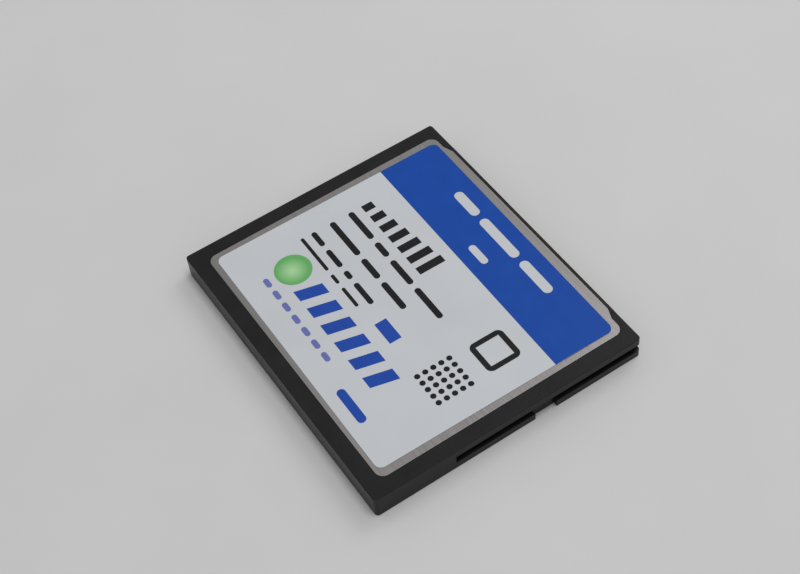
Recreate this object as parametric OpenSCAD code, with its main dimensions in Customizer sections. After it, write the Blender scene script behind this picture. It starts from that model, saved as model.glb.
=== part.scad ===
// Memory card with a 50-way socket at one end, a moulded frame and two sheet-metal covers.
// X runs across the card, Y towards the socket end, Z up from the underside to the printed face.
// The origin is the middle of the underside.

/* [Card] */
// Width across the side rails
card_w = 42.8; // [42.4:0.1:44]
// Length from the rear edge to the socket end
card_l = 36.4; // [36:0.1:38]
// Thickness from the bottom cover to the printed face
card_t = 3.3; // [3.3:0.05:3.8]
// Radius of the four upright corners
corner_r = 0.5; // [0.3:0.05:0.8]
// Chamfer along the outer edges of the frame
edge_chamfer = 0.05; // [0.03:0.01:0.15]

/* [Side rails] */
// Length of each side groove from the socket end
groove_l = 25.78; // [22:0.1:30]
// Depth of each side groove
groove_d = 0.57; // [0.4:0.01:0.8]
// Height of the lip below each groove
lip_h = 1.01; // [0.8:0.01:1.1]
// Height of the groove on the right, the narrow one of the two
narrow_groove_h = 1.14; // [0.9:0.01:1.2]
// Height of the groove on the left, wider so that the card goes in only one way up
wide_groove_h = 1.43; // [1.3:0.01:1.6]
// Distance from the socket end to the notch in each lip
notch_inset = 12; // [10:0.1:14]
// Width of the notch in each lip
notch_w = 3; // [2:0.1:4]

/* [Covers] */
// Thickness of the cover sheet
sheet_t = 0.15; // [0.1:0.01:0.2]
// Width of the frame left showing beside the covers
side_border_w = 1.93; // [1.8:0.01:2.1]
// Width of the frame left showing behind the covers
rear_border_l = 1.97; // [1.8:0.01:2.2]
// Radius of the corners of the covers
cover_r = 1.15; // [0.8:0.05:1.4]
// Distance from the socket end to the shoulders of the covers
shoulder_inset = 0.93; // [0.8:0.01:1.1]
// Distance from the socket end to the tongue of the covers
tongue_inset = 0.41; // [0.35:0.01:0.6]
// Distance from the side of the card to the front corner of the tongue
tongue_side_gap = 5.6; // [5:0.05:6.4]
// Sideways run of the slanted step between tongue and shoulder
tongue_slant_w = 1.4; // [0.6:0.05:1.6]
// Depth of the flange bent along both sides and the rear
flange_h = 0.8; // [0.6:0.05:0.9]
// How far the covers stand out from the frame
cover_proud_h = 0.04; // [0:0.01:0.08]
// Clearance between the covers and the frame
cover_fit = 0.04; // [0.02:0.01:0.06]

/* [Label] */
// Bare metal beside the label
label_side_gap = 0.91; // [0.6:0.01:1.2]
// Bare metal behind the label
label_rear_gap = 0.67; // [0.5:0.01:1]
// Bare metal between the label and the shoulders
label_front_gap = 0.66; // [0.4:0.01:0.8]
// Turn of the label in degrees, as it was laid on by hand
label_turn = -0.5; // [-0.8:0.1:0.8]
// Radius of the corners of the label
label_r = 0.9; // [0.5:0.05:1.2]
// Thickness of the label film
film_t = 0.06; // [0.04:0.01:0.08]
// Thickness of the printed ink
ink_t = 0.02; // [0.01:0.01:0.03]
// Depth of the blue field along the front of the label
field_l = 8.29; // [7.5:0.01:9]

/* [Frame] */
// Ledge that carries the edge of each cover, measured inward from the recess
ledge_w = 0.97; // [0.8:0.01:1.1]
// Length of the posts beyond the rear face of the socket
post_step_l = 0.3; // [0.2:0.05:0.6]
// Width of each shelf block under the board
shelf_w = 0.9; // [0.6:0.05:1.2]
// Length of each shelf block under the board
shelf_l = 2.5; // [1.5:0.1:3.5]
// Radius of the half-round rib that locates the board
rib_r = 0.6; // [0.4:0.05:0.8]
// Distance from the front of the board bay to that rib
rib_inset = 7; // [5:0.5:9]

/* [Socket] */
// Number of contacts in each of the two rows
contact_count = 25; // [20:1:25]
// Distance between the two rows of contacts
row_gap = 1.27; // [1.2:0.01:1.28]
// Distance from the side of the card to the socket housing
housing_side_gap = 4.95; // [4.9:0.01:5.1]
// Depth of the socket housing from front to rear
housing_l = 5.3; // [5:0.1:6]
// Wall beyond the axis of the last contact at each end
housing_end_w = 1.21; // [1:0.01:1.22]
// Width of the ear that locks the housing in the frame
ear_w = 1.6; // [1.2:0.05:1.6]
// Length of that ear
ear_l = 2; // [1.5:0.1:2.2]
// Distance from the socket end to that ear
ear_inset = 2.6; // [2.2:0.1:2.8]
// Clearance between the housing and the frame
housing_fit = 0.05; // [0.03:0.01:0.08]
// Diameter of each pin hole
pin_hole_d = 0.58; // [0.5:0.01:0.6]
// Diameter of the lead-in funnel at its mouth
funnel_d = 0.95; // [0.8:0.01:1.05]
// Depth of the lead-in funnel
funnel_l = 0.35; // [0.2:0.01:0.5]
// Thickness of the front wall that the pin holes run through
front_wall_t = 1; // [0.8:0.05:1.2]

/* [Contacts] */
// Width of the contact strip
contact_w = 0.5; // [0.4:0.01:0.6]
// Thickness of the contact strip
contact_t = 0.13; // [0.1:0.01:0.15]
// Height of each forked contact
contact_h = 0.8; // [0.7:0.01:0.85]
// Gap between the two tines where they grip a pin
grip_gap = 0.34; // [0.3:0.01:0.4]
// Clearance between a contact and its chamber
chamber_fit = 0.05; // [0.03:0.01:0.08]
// Length of the solder tail that lies on the board
tail_l = 1.2; // [0.9:0.05:1.5]

/* [Board] */
// Thickness of the circuit board
board_t = 0.4; // [0.3:0.02:0.5]
// Clearance between the board and the frame
board_fit = 0.2; // [0.1:0.01:0.3]

/* [Chips] */
// Length of a flash memory body
flash_l = 18.4; // [17:0.1:19]
// Width of a flash memory body
flash_w = 12; // [10:0.1:12.5]
// Reach of the flash memory's leads beyond its body
flash_lead_l = 0.8; // [0.6:0.05:1]
// Distance from the corner of the flash memory to the middle of its first lead
flash_lead_inset = 0.25; // [0.2:0.01:0.4]
// Number of leads at each end of a flash memory
flash_lead_count = 24; // [16:1:24]
// Side of the square controller body
controller_w = 14; // [12:0.1:14]
// Reach of the controller's leads beyond its body
controller_lead_l = 1; // [0.8:0.05:1.2]
// Distance from the corner of the controller to the middle of its first lead
controller_lead_inset = 1; // [0.8:0.05:1.2]
// Number of leads on each side of the controller
controller_lead_count = 25; // [16:1:25]
// Width of a chip lead
lead_w = 0.22; // [0.16:0.01:0.28]
// Thickness of a chip lead
lead_t = 0.13; // [0.1:0.01:0.16]
// Thickness of a chip body
chip_t = 1; // [0.8:0.01:1]
// Height of a chip body above the board
standoff_h = 0.06; // [0.04:0.01:0.1]
// Free board at the left of the flash memory and at the right of the controller
edge_gap = 1.9; // [1.5:0.1:2]
// Free board between the flash memory and the controller
chip_gap = 4.8; // [4.2:0.1:6]
// Free board between the rows of parts, from the contact tails to the rear edge
part_gap = 1.365; // [1.2:0.005:1.5]

/* [Small parts] */
// Length of a chip capacitor or resistor
passive_l = 1.6; // [1.2:0.05:1.8]
// Width of a chip capacitor or resistor
passive_w = 0.8; // [0.6:0.05:1]
// Height of a chip capacitor
capacitor_h = 0.8; // [0.6:0.05:0.9]
// Height of a chip resistor
resistor_h = 0.45; // [0.35:0.05:0.6]
// Length of each metal end of a capacitor or resistor
end_l = 0.3; // [0.2:0.05:0.4]
// Length of the clock crystal can
crystal_l = 5; // [4:0.1:6]
// Width of the clock crystal can
crystal_w = 3.2; // [2.5:0.1:3.5]
// Height of the clock crystal can
crystal_h = 0.9; // [0.7:0.05:1]
// Length of the voltage detector body
detector_l = 2.9; // [2.6:0.1:3.1]
// Width of the voltage detector body
detector_w = 1.3; // [1.2:0.05:1.5]
// Width of the voltage detector over its leads
detector_over_leads = 2.4; // [2.2:0.05:2.8]

/* [Hidden] */
$fn = 36;
// Overshoot of a cut past the face it opens
cut = 1;

// Edges of the card in plan
edge_x = card_w / 2;
end_y = card_l / 2;

// Levels from the bottom cover up to the ink
top_z = card_t - film_t - ink_t;
frame_z0 = cover_proud_h;
frame_z1 = top_z - cover_proud_h;
inner_z0 = sheet_t;
inner_z1 = top_z - sheet_t;
mid_z = (inner_z0 + inner_z1) / 2;
board_z0 = mid_z - board_t / 2;
board_z1 = mid_z + board_t / 2;
film_z = top_z;
ink_z = top_z + film_t;

// Plan of a cover without its tongue
pan_w = card_w - 2 * (side_border_w + cover_fit);
pan_y0 = -end_y + rear_border_l + cover_fit;
pan_y1 = end_y - shoulder_inset;
tongue_y = end_y - tongue_inset;

// Plan of the label
label_w = pan_w - 2 * label_side_gap;
label_y0 = pan_y0 + label_rear_gap;
label_y1 = pan_y1 - label_front_gap;
field_y0 = label_y1 - field_l;

// Bay in the frame that holds the board
bay_w = card_w - 2 * (side_border_w + ledge_w);
bay_y0 = -end_y + rear_border_l + ledge_w;
bay_y1 = end_y - housing_l - post_step_l;
bay_r = 0.5;
shelf_rows = 3;
shelf_gap = 2.5;
shelf_step = (bay_y1 - bay_y0 - 2 * shelf_gap - shelf_l) / (shelf_rows - 1);
seat_root = ledge_w / 2;

// Socket housing and its contact chambers
housing_w = card_w - 2 * housing_side_gap;
housing_y0 = end_y - housing_l;
contact_pitch = (housing_w - 2 * housing_end_w) / (contact_count - 1);
row_z = row_gap / 2;
chamber_w = contact_w + 2 * chamber_fit;
chamber_h = contact_h + 2 * chamber_fit;
chamber_y = end_y - front_wall_t;
contact_xs = [for (i = [0:contact_count - 1]) (i - (contact_count - 1) / 2) * contact_pitch];

// Points along one tine from the bent rear to the flared tip, as distance and half gap
contact_rear_gap = 0.7;
contact_tip_gap = 0.15;
contact_rear_y = housing_y0 + contact_rear_gap;
contact_tip_y = chamber_y - contact_tip_gap;
tine_l = contact_tip_y - contact_rear_y;
tine_points = [[0, contact_h / 2 - contact_t / 2], [0.25 * tine_l, contact_h / 2 - contact_t / 2],
    [0.8 * tine_l, grip_gap / 2 + contact_t / 2], [tine_l, contact_h / 2 - contact_t]];

// Circuit board in plan, and its free length behind the contact tails
board_w = bay_w - 2 * board_fit;
board_y0 = bay_y0 + board_fit;
board_y1 = bay_y1 - board_fit;
tail_y = board_y1 - tail_l;
board_free_l = tail_y - board_y0;

// Board that the parts fill at their given sizes, and what they are scaled by to fill the real one
filled_w = flash_w + controller_w + 2 * controller_lead_l + chip_gap + 2 * edge_gap;
filled_l = controller_w + 2 * controller_lead_l + passive_l + crystal_w + 4 * part_gap;
fit = [board_w / filled_w, board_free_l / filled_l];

// Chips in plan: size of each body, size over the leads, and place
flash_size = [flash_w * fit.x, flash_l * fit.y];
flash_at = [-board_w / 2 + edge_gap * fit.x + flash_size.x / 2, board_y0 + board_free_l / 2];
controller_size = controller_w * fit;
controller_over = controller_size + 2 * controller_lead_l * fit;
controller_at = [board_w / 2 - edge_gap * fit.x - controller_over.x / 2,
    tail_y - part_gap * fit.y - controller_over.y / 2];
controller_y0 = controller_at.y - controller_over.y / 2;

// Clock crystal, voltage detector and a row of resistors, evenly spread behind the controller
crystal_size = [crystal_l * fit.x, crystal_w * fit.y];
rear_gap = (controller_y0 - board_y0 - crystal_size.y - passive_l) / 3;
clock_y = board_y0 + rear_gap + crystal_size.y / 2;
clock_offset = 0.275 * controller_over.x;
crystal_at = [controller_at.x - clock_offset, clock_y];
detector_at = [controller_at.x + clock_offset, clock_y];
detector_h = 0.95;
detector_lead_w = 0.4;
detector_lead_pitch = 0.95;
chip_taper_w = 0.12;
pin_mark_r = 0.5;
pin_mark_h = 0.06;
pin_mark_inset = 1.3;
crystal_rim = 0.25;
crystal_rim_h = 0.2;
crystal_r = 0.45;

// Places of the small parts, as centre and turn
column_x = (flash_at.x + flash_size.x / 2 + controller_at.x - controller_over.x / 2) / 2;
resistor_y = controller_y0 - rear_gap - passive_l / 2;
part_step = controller_over / 3;
upper_capacitors = [for (i = [0:3])
    [column_x, controller_at.y + (i - 1.5) * controller_over.y / 4, 90]];
lower_capacitors = [for (i = [0:2], j = [0:1])
    [controller_at.x + (i - 1) * part_step.x, controller_at.y - j * part_step.y, 0]];
upper_resistors = [for (i = [0:3])
    [controller_at.x + (i - 1.5) * controller_over.x / 5, resistor_y, 90]];
lower_resistors = [for (i = [0:7])
    [controller_at.x + (i - 3.5) * controller_over.x / 8, controller_at.y + part_step.y, 90]];

// Grid for the print, in steps that are a millimetre on the real label: behind the field and in it
print_steps = [37.04, 23.84, 8.29];
step_x = label_w / print_steps.x;
step_y = (field_y0 - label_y0) / print_steps.y;
field_step = field_l / print_steps.z;
round_step = (step_x + step_y) / 2;

// Plain bars in place of lines of print: widths of each line, then its level and height
title_steps = [4.6, 7.4, 5.8];
title_row_steps = [5.7, 1.3];
subtitle_steps = [3.4];
subtitle_row_steps = [2.2, 1];
dark_steps = [[5.2, 2.6, 4.4, 5.4], [6.4, 3.6, 4.8], [2.6, 3.2, 1.4, 3.8], [6.2, 1.6, 3.4]];
dark_row_steps = [[6.7, 0.8], [9.4, 0.8], [12.1, 0.7], [13.7, 0.45]];
// Left margin of the dark lines, and gap between two bars of a line
gap_steps = [3.5, 0.9];

// Row of upright bars that rise from left to right: place, pitch and width, first and last height
rise_count = 7;
rise_at_steps = [3.5, 5.1];
rise_bar_steps = [2.05, 1.15];
rise_high_steps = [1.5, 3.6];

// Square ring with its outer side, inner side and corner, and dots with their pitch and radius
ring_at_steps = [31.34, 4.4];
ring_steps = [4.6, 3.2, 0.8];
dot_rows = 5;
dots_at_steps = [29.14, 13.6];
dot_steps = [1.1, 0.36];

// Slanted blue bars with their pitch, width, height and lean, and the two blue pads
slant_count = 6;
slant_at_steps = [10.1, 18.78];
slant_steps = [3.1, 1.7, 3.5, 0.9];
upper_pad_at_steps = [21.7, 12.78];
upper_pad_steps = [3.4, 1.6];
lower_pad_at_steps = [25.4, 21.78];
lower_pad_steps = [5.4, 1.1];

// Row of violet dashes with their pitch, width and height, and the green disc
dash_count = 7;
dash_at_steps = [6.3, 20.58];
dash_steps = [2.25, 1.5, 0.7];
disc_at_steps = [7.1, 17.03];
disc_steps = [2.35];

// Point on the label, in steps from its left side and behind the blue field
function print_at(place) = [-label_w / 2 + place.x * step_x, field_y0 - place.y * step_y];

// Sum of the first n widths, and the length of a whole row with its gaps, in steps
function run_of(widths, n) = n == 0 ? 0 : widths[n - 1] + run_of(widths, n - 1);
function row_w(widths) = run_of(widths, len(widths)) + (len(widths) - 1) * gap_steps[1];

// Rectangle with round corners about the origin
module rounded_plan(w, l, r) {
    square([w - 2 * r, l], center = true);
    square([w, l - 2 * r], center = true);
    for (sx = [-1, 1], sy = [-1, 1])
        translate([sx * (w / 2 - r), sy * (l / 2 - r)]) circle(r);
}

// Rectangle with its four corners cut at 45 degrees, about the middle of its lower side
module chamfered_section(w, h, c) {
    polygon([[-w / 2 + c, 0], [w / 2 - c, 0], [w / 2, c], [w / 2, h - c],
        [w / 2 - c, h], [-w / 2 + c, h], [-w / 2, h - c], [-w / 2, c]]);
}

// Plan of a cover's flat panel up to its shoulders, grown on every side
module pan_plan(grow = 0) {
    translate([0, (pan_y0 + pan_y1) / 2])
        rounded_plan(pan_w + 2 * grow, pan_y1 - pan_y0 + 2 * grow, cover_r + grow);
}

// Plan of a whole cover with the tongue over the socket
module cover_plan(grow = 0) {
    tongue_x = edge_x - tongue_side_gap + grow;
    shoulder_x = tongue_x + tongue_slant_w;
    pan_plan(grow);
    polygon([[-shoulder_x, 0], [shoulder_x, 0], [shoulder_x, pan_y1 + grow],
        [tongue_x, tongue_y + grow], [-tongue_x, tongue_y + grow], [-shoulder_x, pan_y1 + grow]]);
}

// Plan of the bent flange, open towards the socket
module flange_plan(grow = 0) {
    intersection() {
        difference() {
            pan_plan(grow);
            pan_plan(-sheet_t - grow);
        }
        translate([-card_w / 2, -card_l])
            square([card_w, card_l + pan_y1 - cover_r + grow]);
    }
}

// Plan of the bay for the board, the socket opening and its two ear pockets
module bay_plan() {
    opening_w = housing_w + 2 * housing_fit;
    pocket_w = opening_w + 2 * ear_w;
    translate([0, (bay_y0 + bay_y1) / 2]) rounded_plan(bay_w, bay_y1 - bay_y0, bay_r);
    translate([-opening_w / 2, 0]) square([opening_w, card_l]);
    translate([-pocket_w / 2, end_y - ear_inset - ear_l - housing_fit])
        square([pocket_w, ear_l + 2 * housing_fit]);
}

// Outer block of the frame with round upright corners and chamfered edges
module frame_blank() {
    frame_h = frame_z1 - frame_z0;
    translate([0, 0, frame_z0])
        intersection() {
            linear_extrude(frame_h) rounded_plan(card_w, card_l, corner_r);
            rotate([90, 0, 0]) linear_extrude(2 * card_l, center = true)
                chamfered_section(card_w, frame_h, edge_chamfer);
            rotate([90, 0, 90]) linear_extrude(2 * card_w, center = true)
                chamfered_section(card_l, frame_h, edge_chamfer);
        }
}

// Groove and lip notch of one side rail, cut towards +X
module rail_cut(groove_h) {
    wall_x = edge_x - groove_d;
    translate([wall_x, end_y - groove_l, lip_h])
        cube([groove_d + cut, groove_l + cut, groove_h]);
    translate([wall_x, end_y - notch_inset - notch_w, -cut])
        cube([groove_d + cut, notch_w, cut + lip_h + groove_h / 2]);
}

// Recess for one cover on the upper side, with the slot for its flange
module cover_recess() {
    translate([0, 0, inner_z1]) linear_extrude(card_t) cover_plan(cover_fit);
    translate([0, 0, inner_z1 - flange_h - cover_fit])
        linear_extrude(flange_h + cut) flange_plan(cover_fit);
}

// Turns what is made for the upper cover into its twin for the bottom cover
module below() {
    translate([0, 0, 2 * mid_z]) mirror([0, 0, 1]) children();
}

// Shelf blocks under the board and the two ribs that locate it, each with its root in the side wall
module board_seats() {
    shelf_x0 = bay_w / 2 - shelf_w;
    for (side = [0, 1]) mirror([side, 0, 0]) {
        for (i = [0:shelf_rows - 1])
            translate([shelf_x0, bay_y0 + shelf_gap + i * shelf_step, inner_z0])
                cube([shelf_w + seat_root, shelf_l, board_z0 - inner_z0]);
        translate([bay_w / 2, bay_y1 - rib_inset, inner_z0]) cylinder(inner_z1 - inner_z0, r = rib_r);
    }
}

module frame() {
    color("#2a2a2c") {
        difference() {
            frame_blank();
            translate([0, 0, -cut]) linear_extrude(card_t + 2 * cut) bay_plan();
            cover_recess();
            below() cover_recess();
            rail_cut(narrow_groove_h);
            mirror([1, 0, 0]) rail_cut(wide_groove_h);
        }
        board_seats();
    }
}

// Sheet-metal cover with its face up: flat panel, tongue and bent flange
module cover() {
    translate([0, 0, inner_z1]) linear_extrude(sheet_t) cover_plan();
    translate([0, 0, inner_z1 - flange_h]) linear_extrude(flange_h) flange_plan();
}

module top_cover() {
    color("#8f8a88") cover();
}

module bottom_cover() {
    color("#8f8a88") below() cover();
}

// Turns the label and its print about the middle of the label, as it was laid
module as_laid() {
    middle_y = (label_y0 + label_y1) / 2;
    translate([0, middle_y]) rotate(label_turn) translate([0, -middle_y]) children();
}

// Plan of the label, square to the card
module label_plan() {
    translate([0, (label_y0 + label_y1) / 2]) rounded_plan(label_w, label_y1 - label_y0, label_r);
}

module front_label() {
    color("#bcc0c6") translate([0, 0, film_z]) linear_extrude(film_t) as_laid() label_plan();
}

// Bar with round ends, drawn from its left end
module bar_plan(w, h) {
    translate([h / 2, -h / 2]) square([w - h, h]);
    for (x = [h / 2, w - h / 2]) translate([x, 0]) circle(d = h);
}

// One row of bars of height h, from x to the right
module word_row(widths, x, y, h) {
    for (i = [0:len(widths) - 1])
        translate([x + (run_of(widths, i) + i * gap_steps[1]) * step_x, y])
            bar_plan(widths[i] * step_x, h);
}

// One row of bars in the middle of the blue field
module field_row(widths, line) {
    x = -row_w(widths) * step_x / 2;
    word_row(widths, x, field_y0 + line[0] * field_step, line[1] * field_step);
}

// Layer of ink on the label film
module ink() {
    translate([0, 0, ink_z]) linear_extrude(ink_t) as_laid() children();
}

// Blue field with the light bars left out of it, so that the film shows through
module label_blue_field() {
    color("#2149a0") ink() difference() {
        intersection() {
            label_plan();
            translate([-card_w / 2, field_y0]) square([card_w, field_l + cut]);
        }
        field_row(title_steps, title_row_steps);
        field_row(subtitle_steps, subtitle_row_steps);
    }
}

// Square ring with round corners, given by its outer side, inner side and corner
module ring_plan(sides) {
    difference() {
        rounded_plan(sides[0], sides[0], sides[2]);
        square(sides[1], center = true);
    }
}

// Upright bar number i of the rising row
module rise_plan(i) {
    part = i / (rise_count - 1);
    h = rise_high_steps[0] + (rise_high_steps[1] - rise_high_steps[0]) * part;
    translate(print_at(rise_at_steps + [i * rise_bar_steps[0], 0]))
        square([rise_bar_steps[1] * step_x, h * step_y]);
}

module label_dark_marks() {
    color("#22242a") ink() {
        for (i = [0:rise_count - 1]) rise_plan(i);
        for (i = [0:len(dark_row_steps) - 1]) {
            at = print_at([gap_steps[0], dark_row_steps[i][0]]);
            word_row(dark_steps[i], at.x, at.y, dark_row_steps[i][1] * step_y);
        }
        translate(print_at(ring_at_steps)) ring_plan(ring_steps * round_step);
        for (i = [0:dot_rows - 1], j = [0:dot_rows - 1])
            translate(print_at(dots_at_steps + [i, -j] * dot_steps[0]))
                circle(dot_steps[1] * round_step, $fn = 16);
    }
}

// Slanted bar, leaning to the right
module slanted_bar() {
    w = slant_steps[1] * step_x;
    h = slant_steps[2] * step_y;
    lean = slant_steps[3] * step_x;
    polygon([[0, 0], [w, 0], [w + lean, h], [lean, h]]);
}

module label_blue_marks() {
    color("#2545a0") ink() {
        for (i = [0:slant_count - 1])
            translate(print_at(slant_at_steps + [i * slant_steps[0], 0])) slanted_bar();
        translate(print_at(upper_pad_at_steps))
            square([upper_pad_steps.x * step_x, upper_pad_steps.y * step_y], center = true);
        translate(print_at(lower_pad_at_steps))
            bar_plan(lower_pad_steps.x * step_x, lower_pad_steps.y * step_y);
    }
}

module label_violet_marks() {
    color("#6a70a8") ink()
        for (i = [0:dash_count - 1])
            translate(print_at(dash_at_steps + [i * dash_steps[0], 0]))
                bar_plan(dash_steps[1] * step_x, dash_steps[2] * step_y);
}

module label_green_mark() {
    color("#74b06e") ink() translate(print_at(disc_at_steps)) circle(disc_steps[0] * round_step);
}

// Pin hole, chamber and tail slot of one contact in the upper row
module contact_passage() {
    mouth_d = funnel_d + (funnel_d - pin_hole_d) * cut / funnel_l;
    translate([0, end_y, mid_z + row_z]) {
        translate([0, cut, 0]) rotate([90, 0, 0]) {
            cylinder(cut + funnel_l, d1 = mouth_d, d2 = pin_hole_d);
            cylinder(cut + front_wall_t + chamber_fit, d = pin_hole_d);
        }
        translate([-chamber_w / 2, -housing_l - cut, -chamber_h / 2])
            cube([chamber_w, housing_l + cut - front_wall_t, chamber_h]);
    }
    translate([-chamber_w / 2, housing_y0 - cut, board_z1 - chamber_fit])
        cube([chamber_w, contact_rear_y - housing_y0 + cut, mid_z + row_z - board_z1]);
}

// Plan of the full-height lip of the socket, fitted round the tongues of the covers
module socket_lip_plan() {
    difference() {
        translate([-housing_w / 2, pan_y1]) square([housing_w, end_y - pan_y1]);
        cover_plan(cover_fit);
    }
}

module socket_housing() {
    color("#1f1f21") difference() {
        union() {
            translate([-housing_w / 2, housing_y0, inner_z0])
                cube([housing_w, housing_l, inner_z1 - inner_z0]);
            translate([0, 0, frame_z0]) linear_extrude(frame_z1 - frame_z0) socket_lip_plan();
            translate([-housing_w / 2 - ear_w, end_y - ear_inset - ear_l, inner_z0])
                cube([housing_w + 2 * ear_w, ear_l, inner_z1 - inner_z0]);
        }
        for (x = contact_xs) translate([x, 0, 0]) {
            contact_passage();
            below() contact_passage();
        }
    }
}

// One tine of a contact, as a strip of even thickness along its points
module tine() {
    polygon(concat(
        [for (p = tine_points) [p.x, p.y + contact_t / 2]],
        [for (i = [len(tine_points) - 1:-1:0]) [tine_points[i].x, tine_points[i].y - contact_t / 2]]));
}

// One forked contact of the upper row with its tail on the board
module contact() {
    translate([-contact_w / 2, contact_rear_y, mid_z + row_z])
        rotate([90, 0, 90]) linear_extrude(contact_w) {
            tine();
            mirror([0, 1]) tine();
            translate([-contact_t, -contact_h / 2]) square([contact_t, contact_h]);
        }
    translate([-chamber_w / 2, contact_rear_y - contact_t, mid_z + row_z - contact_h / 4])
        cube([chamber_w, contact_t, contact_h / 2]);
    translate([-contact_w / 2, tail_y, board_z1])
        cube([contact_w, contact_rear_y - tail_y, contact_t]);
}

module upper_contacts() {
    color("#c9a24b") for (x = contact_xs) translate([x, 0, 0]) contact();
}

module lower_contacts() {
    color("#c9a24b") below() for (x = contact_xs) translate([x, 0, 0]) contact();
}

module circuit_board() {
    color("#1f5a34") difference() {
        translate([-board_w / 2, board_y0, board_z0]) cube([board_w, board_y1 - board_y0, board_t]);
        for (sx = [-1, 1])
            translate([sx * bay_w / 2, bay_y1 - rib_inset, board_z0 - cut])
                cylinder(board_t + 2 * cut, r = rib_r + board_fit);
    }
}

// Section of a chip body, widest in the band where its leads come out
module tapered_section(w) {
    band = lead_t / 2;
    top_w = w / 2 - chip_taper_w;
    polygon([[-top_w, 0], [top_w, 0], [w / 2, chip_t / 2 - band], [w / 2, chip_t / 2 + band],
        [top_w, chip_t], [-top_w, chip_t], [-w / 2, chip_t / 2 + band], [-w / 2, chip_t / 2 - band]]);
}

// Moulded chip body over the board, with a round mark beside its first lead
module chip_body(w, l) {
    translate([0, 0, board_z1 + standoff_h]) difference() {
        intersection() {
            rotate([90, 0, 0]) linear_extrude(2 * l, center = true) tapered_section(w);
            rotate([90, 0, 90]) linear_extrude(2 * w, center = true) tapered_section(l);
        }
        translate([-w / 2 + pin_mark_inset, l / 2 - pin_mark_inset, chip_t - pin_mark_h])
            cylinder(pin_mark_h + cut, r = pin_mark_r);
    }
}

// Side view of a lead bent down to the board, from the body at the left to the toe
module lead_profile(reach, exit_h) {
    shoulder = 0.3 * reach;
    heel = 0.55 * reach;
    z0 = exit_h - lead_t / 2;
    z1 = exit_h + lead_t / 2;
    polygon([[0, z0], [shoulder, z0], [heel, 0], [reach, 0],
        [reach, lead_t], [heel + lead_t, lead_t], [shoulder + lead_t, z1], [0, z1]]);
}

// Row of leads along Y on the right side of a body of width w and length l
module lead_row(count, w, l, inset, reach) {
    pitch = (l - 2 * inset) / (count - 1);
    for (i = [0:count - 1])
        translate([w / 2, i * pitch + inset - l / 2 + lead_w / 2, board_z1])
            rotate([90, 0, 0]) linear_extrude(lead_w) lead_profile(reach, standoff_h + chip_t / 2);
}

// Flash memory body in its place, with its leads at the front and rear ends
module flash_chip() {
    color("#26262a") translate(flash_at) chip_body(flash_size.x, flash_size.y);
}

module flash_leads() {
    color("#b9bcc0") translate(flash_at)
        for (turn = [90, 270]) rotate(turn)
            lead_row(flash_lead_count, flash_size.y, flash_size.x, flash_lead_inset * fit.x,
                flash_lead_l * fit.y);
}

module upper_flash_chip() {
    flash_chip();
}

module upper_flash_leads() {
    flash_leads();
}

module lower_flash_chip() {
    below() flash_chip();
}

module lower_flash_leads() {
    below() flash_leads();
}

module controller_chip() {
    color("#26262a") translate(controller_at) chip_body(controller_size.x, controller_size.y);
}

// Row of leads along side a of the controller's body, on the sides that face axis b
module controller_row(a, b) {
    lead_row(controller_lead_count, controller_size[b], controller_size[a],
        controller_lead_inset * fit[a], controller_lead_l * fit[b]);
}

module controller_leads() {
    color("#b9bcc0") translate(controller_at)
        for (half = [0, 180]) {
            rotate(half) controller_row(1, 0);
            rotate(half + 90) controller_row(0, 1);
        }
}

// Puts a small part on the board at each place, given as centre and turn
module at_places(places) {
    for (p = places) translate([p.x, p.y, board_z1]) rotate(p.z) children();
}

// Ceramic or film body between the two metal ends of a small part
module passive_body(h) {
    translate([-passive_l / 2 + end_l, -passive_w / 2, 0]) cube([passive_l - 2 * end_l, passive_w, h]);
}

// The two metal ends of a small part
module passive_ends(h) {
    for (sx = [-1, 1])
        translate([sx * (passive_l - end_l) / 2 - end_l / 2, -passive_w / 2, 0]) cube([end_l, passive_w, h]);
}

module ceramic_capacitors() {
    color("#a98a63") {
        at_places(upper_capacitors) passive_body(capacitor_h);
        below() at_places(lower_capacitors) passive_body(capacitor_h);
    }
}

module capacitor_ends() {
    color("#c4c6c8") {
        at_places(upper_capacitors) passive_ends(capacitor_h);
        below() at_places(lower_capacitors) passive_ends(capacitor_h);
    }
}

module chip_resistors() {
    color("#1c1c1e") {
        at_places(upper_resistors) passive_body(resistor_h);
        below() at_places(lower_resistors) passive_body(resistor_h);
    }
}

module resistor_ends() {
    color("#c4c6c8") {
        at_places(upper_resistors) passive_ends(resistor_h);
        below() at_places(lower_resistors) passive_ends(resistor_h);
    }
}

// Crystal can with a flat seam rim round its foot
module clock_crystal() {
    color("#b4b6b8") translate([crystal_at.x, crystal_at.y, board_z1]) {
        linear_extrude(crystal_rim_h) rounded_plan(crystal_size.x, crystal_size.y, crystal_r);
        linear_extrude(crystal_h)
            rounded_plan(crystal_size.x - 2 * crystal_rim, crystal_size.y - 2 * crystal_rim, crystal_r);
    }
}

module voltage_detector() {
    color("#26262a")
        translate([detector_at.x - detector_l / 2, detector_at.y - detector_w / 2, board_z1 + standoff_h])
            cube([detector_l, detector_w, detector_h]);
}

// Lead of the detector, pointing to +Y from its body
module detector_lead(x) {
    translate([x - detector_lead_w / 2, detector_w / 2, 0])
        rotate([90, 0, 90]) linear_extrude(detector_lead_w)
            lead_profile((detector_over_leads - detector_w) / 2, standoff_h + detector_h / 2);
}

module voltage_detector_leads() {
    color("#b9bcc0") translate([detector_at.x, detector_at.y, board_z1]) {
        detector_lead(0);
        mirror([0, 1, 0]) for (sx = [-1, 1]) detector_lead(sx * detector_lead_pitch);
    }
}

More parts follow.
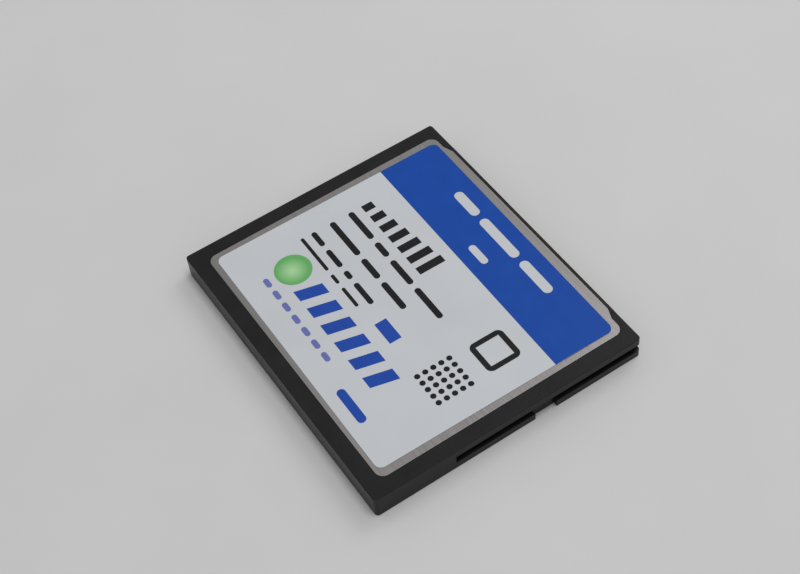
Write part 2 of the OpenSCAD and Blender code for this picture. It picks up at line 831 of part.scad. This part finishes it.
frame();
top_cover();
bottom_cover();
front_label();
label_blue_field();
label_dark_marks();
label_blue_marks();
label_violet_marks();
label_green_mark();
socket_housing();
upper_contacts();
lower_contacts();
circuit_board();
upper_flash_chip();
upper_flash_leads();
lower_flash_chip();
lower_flash_leads();
controller_chip();
controller_leads();
ceramic_capacitors();
capacitor_ends();
chip_resistors();
resistor_ends();
clock_crystal();
voltage_detector();
voltage_detector_leads();
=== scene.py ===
import bpy
import math
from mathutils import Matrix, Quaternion, Vector


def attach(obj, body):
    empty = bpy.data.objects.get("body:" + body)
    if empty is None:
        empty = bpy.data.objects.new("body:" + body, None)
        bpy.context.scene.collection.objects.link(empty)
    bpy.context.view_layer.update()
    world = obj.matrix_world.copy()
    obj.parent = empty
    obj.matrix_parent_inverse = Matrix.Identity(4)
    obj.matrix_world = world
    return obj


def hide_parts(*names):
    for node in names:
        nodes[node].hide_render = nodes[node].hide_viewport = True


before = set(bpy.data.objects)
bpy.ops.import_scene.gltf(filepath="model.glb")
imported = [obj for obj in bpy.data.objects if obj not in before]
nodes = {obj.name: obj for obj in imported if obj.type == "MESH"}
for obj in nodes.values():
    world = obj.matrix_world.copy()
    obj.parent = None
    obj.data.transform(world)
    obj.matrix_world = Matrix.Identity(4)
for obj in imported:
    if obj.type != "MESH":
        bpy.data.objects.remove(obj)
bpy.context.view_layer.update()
scene = bpy.context.scene
mm = 0.001
print("stage 1: the packed card is loaded,", len(nodes), "nodes")


def deselectAll():
    bpy.ops.object.select_all(action="DESELECT")


def selectOnly(piece):
    deselectAll()
    piece.select_set(True)
    bpy.context.view_layer.objects.active = piece


def applyModifier(piece, kind, **settings):
    modifier = piece.modifiers.new(kind.title(), kind)
    for name, value in settings.items():
        setattr(modifier, name, value)
    selectOnly(piece)
    bpy.ops.object.modifier_apply(modifier=modifier.name)


# sRGB hex code to the linear colour that Blender wants
def linearColour(code):
    parts = [int(code[i:i + 2], 16) / 255 for i in (1, 3, 5)]
    return [p / 12.92 if p <= 0.04045 else ((p + 0.055) / 1.055) ** 2.4 for p in parts] + [1]


# texture scale whose features come out about this many millimetres wide
def grain(widthMm):
    return 1000 / widthMm


def addNode(tree, kind, inputs=None, links=None, **settings):
    node = tree.nodes.new(kind)
    for name, value in settings.items():
        setattr(node, name, value)
    for name, value in (inputs or {}).items():
        node.inputs[name].default_value = value
    for name, output in (links or {}).items():
        tree.links.new(output, node.inputs[name])
    return node


# empty material with its shader, output and object coordinates in place
def startMaterial(name, **shaderInputs):
    material = bpy.data.materials.new(name)
    material.use_nodes = True
    tree = material.node_tree
    tree.nodes.clear()
    shader = addNode(tree, "ShaderNodeBsdfPrincipled", shaderInputs)
    addNode(tree, "ShaderNodeOutputMaterial", links={"Surface": shader.outputs["BSDF"]})
    place = addNode(tree, "ShaderNodeTexCoord").outputs["Object"]
    return material, tree, shader, place


# noise mostly stays between low and high, and a colour changes between darkAt and lightAt
cloudRange = {"low": 0.3, "high": 0.7, "darkAt": 0.25, "lightAt": 0.75}


# noise between two colours into the shader's base colour
def mottle(tree, shader, place, dark, light, widthMm):
    noise = addNode(tree, "ShaderNodeTexNoise", {"Scale": grain(widthMm), "Detail": 3, "Roughness": 0.55},
                    {"Vector": place})
    ramp = addNode(tree, "ShaderNodeValToRGB", links={"Fac": noise.outputs["Fac"]})
    ramp.color_ramp.elements[0].position = cloudRange["darkAt"]
    ramp.color_ramp.elements[1].position = cloudRange["lightAt"]
    ramp.color_ramp.elements[0].color = linearColour(dark)
    ramp.color_ramp.elements[1].color = linearColour(light)
    tree.links.new(ramp.outputs["Color"], shader.inputs["Base Color"])
    return ramp.outputs["Color"]


# noise between two values
def unevenValue(tree, place, low, high, widthMm):
    noise = addNode(tree, "ShaderNodeTexNoise", {"Scale": grain(widthMm), "Detail": 4}, {"Vector": place})
    spread = addNode(tree, "ShaderNodeMapRange",
                     {"From Min": cloudRange["low"], "From Max": cloudRange["high"],
                      "To Min": low, "To Max": high}, {"Value": noise.outputs["Fac"]})
    return spread.outputs["Result"]


def roughen(tree, shader, place, low, high, widthMm):
    tree.links.new(unevenValue(tree, place, low, high, widthMm), shader.inputs["Roughness"])


# noise as relief in the shader's normal, with its depth in millimetres from valley to peak
def relief(tree, shader, place, widthMm, deepMm, **noiseInputs):
    noise = addNode(tree, "ShaderNodeTexNoise", {"Scale": grain(widthMm), **noiseInputs}, {"Vector": place})
    bump = addNode(tree, "ShaderNodeBump", {"Strength": 1, "Distance": deepMm * mm},
                   {"Height": noise.outputs["Fac"]})
    tree.links.new(bump.outputs["Normal"], shader.inputs["Normal"])
    return bump


# object coordinates squeezed along an axis, so that what is widthMm across runs on for runMm along it
def drawnOut(tree, place, axis, widthMm, runMm):
    scale = [1, 1, 1]
    scale[axis] = widthMm / runMm
    return addNode(tree, "ShaderNodeMapping", {"Scale": scale}, {"Vector": place}).outputs["Vector"]


# 1 on the level faces, 0 on the upright walls
def levelness(tree):
    turned = addNode(tree, "ShaderNodeTexCoord").outputs["Normal"]
    facing = addNode(tree, "ShaderNodeSeparateXYZ", links={"Vector": turned})
    level = addNode(tree, "ShaderNodeMath", links={0: facing.outputs["Z"]}, operation="ABSOLUTE")
    return level.outputs["Value"]


def paint(piece, material):
    piece.data.materials.clear()
    piece.data.materials.append(material)


# glass-filled nylon: near black, with an etched grain on the faces and smooth walls where the tool draws off,
# so that the top looks matt and the sides mirror the table faintly, a little wavy; the grain is drawn coarser
# than the real one, so that it shows
nylon = {"dark": "#111113", "light": "#18181a", "cloudMm": 5, "index": 1.3,
         "faceRough": 0.42, "wallRough": 0.36, "uneven": (0.9, 1.1), "unevenMm": 2.5,
         "grainMm": 0.24, "grainDeepMm": 0.018, "waveMm": 2.6, "waveDeepMm": 0.012}


def blackMouldedNylon():
    material, tree, shader, place = startMaterial("blackMouldedNylon", IOR=nylon["index"])
    mottle(tree, shader, place, nylon["dark"], nylon["light"], nylon["cloudMm"])
    etched = levelness(tree)
    base = addNode(tree, "ShaderNodeMapRange", {"To Min": nylon["wallRough"], "To Max": nylon["faceRough"]},
                   {"Value": etched})
    uneven = unevenValue(tree, place, *nylon["uneven"], nylon["unevenMm"])
    rough = addNode(tree, "ShaderNodeMath", links={0: base.outputs["Result"], 1: uneven},
                    operation="MULTIPLY")
    tree.links.new(rough.outputs["Value"], shader.inputs["Roughness"])
    waves = addNode(tree, "ShaderNodeTexNoise", {"Scale": grain(nylon["waveMm"]), "Detail": 1},
                    {"Vector": place})
    swell = addNode(tree, "ShaderNodeBump", {"Distance": nylon["waveDeepMm"] * mm},
                    {"Height": waves.outputs["Fac"]})
    skin = relief(tree, shader, place, nylon["grainMm"], nylon["grainDeepMm"], Detail=5, Roughness=0.7)
    tree.links.new(etched, skin.inputs["Strength"])
    tree.links.new(swell.outputs["Normal"], skin.inputs["Normal"])
    return material


# socket moulding, liquid crystal polymer: blacker than the frame, with a smoother skin and faint flow marks
socket = {"dark": "#0b0b0c", "light": "#121213", "cloudMm": 1.2, "index": 1.35,
          "rough": (0.4, 0.5), "roughMm": 0.6, "flowMm": 0.5, "flowDeepMm": 0.002}


def blackSocketPolymer():
    material, tree, shader, place = startMaterial("blackSocketPolymer", IOR=socket["index"])
    mottle(tree, shader, place, socket["dark"], socket["light"], socket["cloudMm"])
    roughen(tree, shader, place, *socket["rough"], socket["roughMm"])
    relief(tree, shader, place, socket["flowMm"], socket["flowDeepMm"], Detail=3, Distortion=0.6)
    return material


# stainless sheet, rolled and stamped: satin grey with a faint grain along the rolling direction, and a
# rougher edge all round where it was sheared, whose colour is also darkened there as painted shade, so that
# the rim of the cover ends without a bright line; the grain is drawn coarser than the real one, so that it
# shows
steel = {"dark": "#989594", "light": "#a19e9d", "rough": (0.31, 0.37), "streakMm": 0.35, "streakRunMm": 24,
         "grainMm": 0.14, "grainRunMm": 6, "grainDeepMm": 0.0008,
         "edgeStart": 0.995, "edgeEnd": 0.95, "edgeRough": 0.6, "paintedEdgeShade": 0.55}


def rolledStainless():
    material, tree, shader, place = startMaterial("rolledStainless", Metallic=1)
    streaked = drawnOut(tree, place, 0, steel["streakMm"], steel["streakRunMm"])
    faceTone = mottle(tree, shader, streaked, steel["dark"], steel["light"], steel["streakMm"])
    faceRough = unevenValue(tree, streaked, *steel["rough"], steel["streakMm"])
    # 0 on the flat sheet, 1 where the rounded edge turns away from it
    edge = addNode(tree, "ShaderNodeMapRange", {"From Min": steel["edgeStart"], "From Max": steel["edgeEnd"]},
                   {"Value": levelness(tree)}).outputs["Result"]
    rough = addNode(tree, "ShaderNodeMapRange", {"To Max": steel["edgeRough"]},
                    {"Value": edge, "To Min": faceRough})
    tree.links.new(rough.outputs["Result"], shader.inputs["Roughness"])
    # painted shade: the colour darkens on the rounded edge, so that the rim of the cover catches no bright
    # line
    tone = addNode(tree, "ShaderNodeMapRange", {"To Min": 1, "To Max": steel["paintedEdgeShade"]}, {"Value": edge})
    edgeShadedColour = addNode(tree, "ShaderNodeVectorMath", links={0: faceTone, "Scale": tone.outputs["Result"]},
                     operation="SCALE")
    tree.links.new(edgeShadedColour.outputs["Vector"], shader.inputs["Base Color"])
    rolled = drawnOut(tree, place, 0, steel["grainMm"], steel["grainRunMm"])
    relief(tree, shader, rolled, steel["grainMm"], steel["grainDeepMm"], Detail=4, Roughness=0.6)
    return material


# polyester label film with a satin top coat: cool white, with faint broad waves from being pressed on by hand
film = {"dark": "#babdc1", "light": "#bfc2c6", "cloudMm": 9, "index": 1.4, "rough": (0.4, 0.48), "roughMm": 4,
        "waveMm": 8, "waveDeepMm": 0.02}


def satinLabelFilm():
    material, tree, shader, place = startMaterial("satinLabelFilm", IOR=film["index"])
    mottle(tree, shader, place, film["dark"], film["light"], film["cloudMm"])
    roughen(tree, shader, place, *film["rough"], film["roughMm"])
    relief(tree, shader, place, film["waveMm"], film["waveDeepMm"], Detail=1)
    return material


# ink laid on the film by a rubber plate: flat solid colour, very slightly uneven, with the film's satin coat;
# its stipple is drawn coarser than the real one, so that it shows
ink = {"field": ("#013f98", "#04449e"), "blueMarks": ("#14409a", "#1a45a0"),
       "darkMarks": ("#0c0d10", "#141518"), "violetMarks": ("#5f66a2", "#686faa"), "cloudMm": 3,
       "index": 1.3, "rough": (0.4, 0.44), "roughMm": 2, "stippleMm": 0.2, "stippleDeepMm": 0.0015}


def plateInk(name, dark, light):
    material, tree, shader, place = startMaterial(name, IOR=ink["index"])
    mottle(tree, shader, place, dark, light, ink["cloudMm"])
    roughen(tree, shader, place, *ink["rough"], ink["roughMm"])
    relief(tree, shader, place, ink["stippleMm"], ink["stippleDeepMm"], Detail=2)
    return material


# the green disc: ink of the same kind laid thinner in the middle, so that it is lighter there
disc = {"centre": (-11.4175 * mm, -8.77 * mm, 3.3 * mm), "radius": 2.35 * mm,
        "middle": "#a5cf9c", "rim": "#5ea35c", "rimFrom": 0.85,
        "index": 1.4, "rough": (0.36, 0.46), "roughMm": 2}


def greenDiscInk():
    material, tree, shader, place = startMaterial("greenDiscInk", IOR=disc["index"])
    centred = addNode(tree, "ShaderNodeMapping", {"Location": disc["centre"], "Scale": [disc["radius"]] * 3},
                      {"Vector": place}, vector_type="TEXTURE")
    away = addNode(tree, "ShaderNodeVectorMath", links={0: centred.outputs["Vector"]}, operation="LENGTH")
    ramp = addNode(tree, "ShaderNodeValToRGB", links={"Fac": away.outputs["Value"]})
    ramp.color_ramp.elements[0].color = linearColour(disc["middle"])
    ramp.color_ramp.elements[1].color = linearColour(disc["rim"])
    ramp.color_ramp.elements[1].position = disc["rimFrom"]
    tree.links.new(ramp.outputs["Color"], shader.inputs["Base Color"])
    roughen(tree, shader, place, *disc["rough"], disc["roughMm"])
    return material


# phosphor bronze strip plated with gold: warm yellow, with drawn lines along the strip, coarser than the real
# ones so that they show
gold = {"dark": "#c79a3c", "light": "#dcb45c", "cloudMm": 0.8, "rough": (0.2, 0.34), "roughMm": 0.4,
        "lineMm": 0.05, "lineRunMm": 1, "lineDeepMm": 0.001}


def goldPlatedStrip():
    material, tree, shader, place = startMaterial("goldPlatedStrip", Metallic=1)
    mottle(tree, shader, place, gold["dark"], gold["light"], gold["cloudMm"])
    roughen(tree, shader, place, *gold["rough"], gold["roughMm"])
    along = drawnOut(tree, place, 1, gold["lineMm"], gold["lineRunMm"])
    relief(tree, shader, along, gold["lineMm"], gold["lineDeepMm"], Detail=2)
    return material


# epoxy glass board under green solder resist: tracks show as paler lines where the copper lifts the resist
board = {"resist": ("#1b5530", "#1f5f36"), "track": "#2f7a48", "trackMm": 0.12, "trackDeepMm": 0.02,
         "softness": 0.3, "runMm": 2.6, "pitchMm": 0.45, "index": 1.5, "rough": (0.28, 0.4), "roughMm": 1}


def greenResistBoard():
    material, tree, shader, place = startMaterial("greenResistBoard", IOR=board["index"])
    # at this scale the brick pattern's sizes are millimetres
    tracks = addNode(tree, "ShaderNodeTexBrick",
                     {"Scale": grain(1), "Mortar Size": board["trackMm"], "Mortar Smooth": board["softness"],
                      "Brick Width": board["runMm"], "Row Height": board["pitchMm"],
                      "Color1": linearColour(board["resist"][0]), "Color2": linearColour(board["resist"][1]),
                      "Mortar": linearColour(board["track"])}, {"Vector": place})
    tree.links.new(tracks.outputs["Color"], shader.inputs["Base Color"])
    roughen(tree, shader, place, *board["rough"], board["roughMm"])
    lift = addNode(tree, "ShaderNodeBump", {"Strength": 1, "Distance": board["trackDeepMm"] * mm},
                   {"Height": tracks.outputs["Fac"]})
    tree.links.new(lift.outputs["Normal"], shader.inputs["Normal"])
    return material


# moulded epoxy compound of the chips: charcoal, sandy from its silica filler, whose grains are drawn coarser
# than the real ones, so that they show
compound = {"dark": "#1c1c1f", "light": "#29292d", "cloudMm": 0.35, "index": 1.5, "rough": (0.5, 0.66),
            "roughMm": 0.5, "sandMm": 0.09, "sandDeepMm": 0.004}


def sandyChipCompound():
    material, tree, shader, place = startMaterial("sandyChipCompound", IOR=compound["index"])
    mottle(tree, shader, place, compound["dark"], compound["light"], compound["cloudMm"])
    roughen(tree, shader, place, *compound["rough"], compound["roughMm"])
    sand = addNode(tree, "ShaderNodeTexVoronoi", {"Scale": grain(compound["sandMm"])}, {"Vector": place})
    grit = addNode(tree, "ShaderNodeBump", {"Strength": 1, "Distance": compound["sandDeepMm"] * mm},
                   {"Height": sand.outputs["Distance"]})
    tree.links.new(grit.outputs["Normal"], shader.inputs["Normal"])
    return material


# leads and part ends dipped in tin: bright, a little cloudy
tin = {"dark": "#b4b7ba", "light": "#d2d4d6", "cloudMm": 0.3, "rough": (0.22, 0.42), "roughMm": 0.25,
       "swellMm": 0.2, "swellDeepMm": 0.003}


def dippedTin():
    material, tree, shader, place = startMaterial("dippedTin", Metallic=1)
    mottle(tree, shader, place, tin["dark"], tin["light"], tin["cloudMm"])
    roughen(tree, shader, place, *tin["rough"], tin["roughMm"])
    relief(tree, shader, place, tin["swellMm"], tin["swellDeepMm"], Detail=2)
    return material


# fired barium titanate of the capacitors: tan, with a fine speckle and a faint sheen
titanate = {"dark": "#9c7c55", "light": "#b2946c", "speckleMm": 0.12, "index": 1.6, "rough": (0.4, 0.55),
            "roughMm": 0.2}


def firedTitanate():
    material, tree, shader, place = startMaterial("firedTitanate", IOR=titanate["index"])
    mottle(tree, shader, place, titanate["dark"], titanate["light"], titanate["speckleMm"])
    roughen(tree, shader, place, *titanate["rough"], titanate["roughMm"])
    return material


# glaze over the alumina of the resistors: glassy black, a little uneven
glaze = {"dark": "#121214", "light": "#1f1f22", "cloudMm": 0.4, "index": 1.5, "rough": (0.15, 0.3),
         "roughMm": 0.3}


def glassyResistorGlaze():
    material, tree, shader, place = startMaterial("glassyResistorGlaze", IOR=glaze["index"])
    mottle(tree, shader, place, glaze["dark"], glaze["light"], glaze["cloudMm"])
    roughen(tree, shader, place, *glaze["rough"], glaze["roughMm"])
    return material


# crystal can: nickel-plated sheet, drawn and seam-welded, with a faint brushed grain, coarser than the real
# one so that it shows
nickel = {"dark": "#a9abad", "light": "#c1c3c5", "cloudMm": 1.5, "rough": (0.25, 0.38), "roughMm": 0.6,
          "brushMm": 0.06, "brushRunMm": 2, "brushDeepMm": 0.001}


def drawnNickelCan():
    material, tree, shader, place = startMaterial("drawnNickelCan", Metallic=1)
    mottle(tree, shader, place, nickel["dark"], nickel["light"], nickel["cloudMm"])
    roughen(tree, shader, place, *nickel["rough"], nickel["roughMm"])
    along = drawnOut(tree, place, 0, nickel["brushMm"], nickel["brushRunMm"])
    relief(tree, shader, along, nickel["brushMm"], nickel["brushDeepMm"], Detail=3)
    return material


blackNylon = blackMouldedNylon()
blackPolymer = blackSocketPolymer()
stainless = rolledStainless()
whiteFilm = satinLabelFilm()
blueInk = plateInk("blueFieldInk", *ink["field"])
blueMarkInk = plateInk("blueMarkInk", *ink["blueMarks"])
darkInk = plateInk("darkMarkInk", *ink["darkMarks"])
violetInk = plateInk("violetMarkInk", *ink["violetMarks"])
greenInk = greenDiscInk()
goldStrip = goldPlatedStrip()
greenBoard = greenResistBoard()
chipBlack = sandyChipCompound()
brightTin = dippedTin()
print("stage 2: materials are made")


# pieces with softened edges, made from merged copies of the solids
softened = {
    "frame": {"piece": "mouldedFrame", "slot": "frame_plastic", "edgeMm": 0.03, "material": blackNylon},
    "top_cover": {"piece": "topCoverSheet", "slot": "cover_steel", "edgeMm": 0.05, "material": stainless},
    "bottom_cover": {"piece": "bottomCoverSheet", "slot": "cover_steel", "edgeMm": 0.05,
                     "material": stainless},
    "front_label": {"piece": "labelFilm", "slot": "label_film", "edgeMm": 0.02, "material": whiteFilm},
}
# points closer than mergeMm are one, faces that turn less than flatDeg are one, and slivers are dropped
softening = {"mergeMm": 0.0005, "flatDeg": 1, "smoothDeg": 25, "edgeDeg": 30, "segments": 3,
             "sliverMm": 0.0002}


def softenedCopy(nodeName, facts):
    piece = nodes[nodeName].copy()
    piece.data = nodes[nodeName].data.copy()
    piece.name = facts["piece"]
    for key in [k for k in piece.keys() if k.startswith("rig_")]:
        del piece[key]
    piece.parent = None
    scene.collection.objects.link(piece)
    selectOnly(piece)
    bpy.ops.mesh.customdata_custom_splitnormals_clear()
    bpy.ops.object.mode_set(mode="EDIT")
    bpy.ops.mesh.select_all(action="SELECT")
    bpy.ops.mesh.remove_doubles(threshold=softening["mergeMm"] * mm)
    bpy.ops.mesh.dissolve_limited(angle_limit=math.radians(softening["flatDeg"]))
    bpy.ops.object.mode_set(mode="OBJECT")
    bpy.ops.object.shade_smooth_by_angle(angle=math.radians(softening["smoothDeg"]))
    # hardened normals keep the flat faces flat and leave the shine to the rounded edges
    applyModifier(piece, "BEVEL", width=facts["edgeMm"] * mm, segments=softening["segments"],
                  limit_method="ANGLE", angle_limit=math.radians(softening["edgeDeg"]),
                  use_clamp_overlap=True, harden_normals=True)
    bpy.ops.object.mode_set(mode="EDIT")
    bpy.ops.mesh.select_all(action="SELECT")
    bpy.ops.mesh.dissolve_degenerate(threshold=softening["sliverMm"] * mm)
    bpy.ops.object.mode_set(mode="OBJECT")
    paint(piece, facts["material"])
    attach(piece, "root")
    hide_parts(nodeName)


for nodeName, facts in softened.items():
    softenedCopy(nodeName, facts)
print("stage 3: frame, covers and label have softened edges")


finishes = {
    "label_blue_field": blueInk, "label_blue_marks": blueMarkInk, "label_dark_marks": darkInk,
    "label_violet_marks": violetInk, "label_green_mark": greenInk, "socket_housing": blackPolymer,
    "upper_contacts": goldStrip, "lower_contacts": goldStrip, "circuit_board": greenBoard,
    "upper_flash_chip": chipBlack, "lower_flash_chip": chipBlack, "controller_chip": chipBlack,
    "voltage_detector": chipBlack, "upper_flash_leads": brightTin, "lower_flash_leads": brightTin,
    "controller_leads": brightTin, "voltage_detector_leads": brightTin, "capacitor_ends": brightTin,
    "resistor_ends": brightTin, "ceramic_capacitors": firedTitanate(),
    "chip_resistors": glassyResistorGlaze(), "clock_crystal": drawnNickelCan(),
}
for nodeName, material in finishes.items():
    paint(nodes[nodeName], material)
print("stage 4: the other solids have their finishes")


# matt pale laminate: a plain light grey with hardly any texture; its side is in metres
table = {"side": 12.0, "dark": "#c4c4c4", "light": "#c8c8c8", "cloudMm": 22, "index": 1.4,
         "rough": (0.6, 0.75), "roughMm": 10}


def paleTableTop():
    material, tree, shader, place = startMaterial("paleTableTop", IOR=table["index"])
    mottle(tree, shader, place, table["dark"], table["light"], table["cloudMm"])
    roughen(tree, shader, place, *table["rough"], table["roughMm"])
    return material


deselectAll()
bpy.ops.mesh.primitive_plane_add(size=table["side"], location=(0, 0, 0))
tableTop = bpy.context.object
tableTop.name = "tableTop"
paint(tableTop, paleTableTop())

# soft room light all round, a wide soft sun nearly overhead, and a dimmer round lamp beyond the socket end,
# which stands near enough for its light to fade across the table; "wideDeg" is how broad each looks from the
# card and "away" its distance in metres, which makes no difference to a sun; the backdrop has the tone of the
# far table, so that no edge shows between them
light = {"roomStrength": 0.5, "backdrop": "#b9b9b9",
         "overheadLamp": {"towards": (0.2, 0.17, 1.19), "wideDeg": 25.4, "strength": 1.07, "away": 1},
         "farLamp": {"towards": (-0.23, 0.77, 0.87), "wideDeg": 30, "strength": 0.6, "away": 0.4}}
world = bpy.data.worlds.new("softRoom")
scene.world = world
world.use_nodes = True
sky = world.node_tree
sky.nodes.clear()
room = addNode(sky, "ShaderNodeBackground", {"Color": (1, 1, 1, 1), "Strength": light["roomStrength"]})
backdrop = addNode(sky, "ShaderNodeBackground", {"Color": linearColour(light["backdrop"]), "Strength": 1})
# what the camera, a gloss or a clear piece sees is the backdrop, and all other light is the room's
ray = addNode(sky, "ShaderNodeLightPath")
direct = addNode(sky, "ShaderNodeMath", operation="MAXIMUM",
                 links={0: ray.outputs["Is Camera Ray"], 1: ray.outputs["Is Glossy Ray"]})
seen = addNode(sky, "ShaderNodeMath", operation="MAXIMUM",
               links={0: direct.outputs["Value"], 1: ray.outputs["Is Transmission Ray"]})
around = addNode(sky, "ShaderNodeMixShader", links={"Fac": seen.outputs["Value"]})
sky.links.new(room.outputs["Background"], around.inputs[1])
sky.links.new(backdrop.outputs["Background"], around.inputs[2])
addNode(sky, "ShaderNodeOutputWorld", links={"Surface": around.outputs["Shader"]})


def addLamp(name, kind, facts):
    towards = Vector(facts["towards"]).normalized()
    deselectAll()
    bpy.ops.object.light_add(type=kind, location=towards * facts["away"])
    lamp = bpy.context.object
    lamp.name = name
    lamp.rotation_mode = "QUATERNION"
    lamp.rotation_quaternion = (-towards).to_track_quat("-Z", "Y")
    return lamp


facts = light["overheadLamp"]
overheadLamp = addLamp("overheadLamp", "SUN", facts)
overheadLamp.data.angle = math.radians(facts["wideDeg"])
overheadLamp.data.energy = facts["strength"]
facts = light["farLamp"]
farLamp = addLamp("farLamp", "AREA", facts)
farLamp.data.shape = "DISK"
farLamp.data.size = 2 * facts["away"] * math.tan(math.radians(facts["wideDeg"] / 2))
# the watts that light the card as a sun of this strength would
farLamp.data.energy = math.pi * facts["away"] ** 2 * facts["strength"]

# where the photograph was taken from, worked out from the card's edges; the focal length is in pixels of an
# image 800 pixels wide, and the camera sees from nearest to farthest, in metres
shot = {"place": (102.317 * mm, -54.072 * mm, 149.161 * mm), "look": (-0.554702, 0.290286, -0.779769),
        "rollDeg": 7.4842, "focalPixels": 1577.46, "widthPixels": 800, "sensorMm": 36,
        "nearest": 0.01, "farthest": 10}
deselectAll()
bpy.ops.object.camera_add(location=shot["place"])
camera = bpy.context.object
camera.name = "photoCamera"
camera.rotation_mode = "QUATERNION"
level = Vector(shot["look"]).to_track_quat("-Z", "Y")
roll = Quaternion((0, 0, 1), math.radians(-shot["rollDeg"]))
camera.rotation_quaternion = level @ roll
camera.data.sensor_width = shot["sensorMm"]
camera.data.lens = shot["focalPixels"] * shot["sensorMm"] / shot["widthPixels"]
camera.data.clip_start = shot["nearest"]
camera.data.clip_end = shot["farthest"]
scene.camera = camera
scene.view_settings.view_transform = "Standard"
print("stage 5: table, light and camera are set")
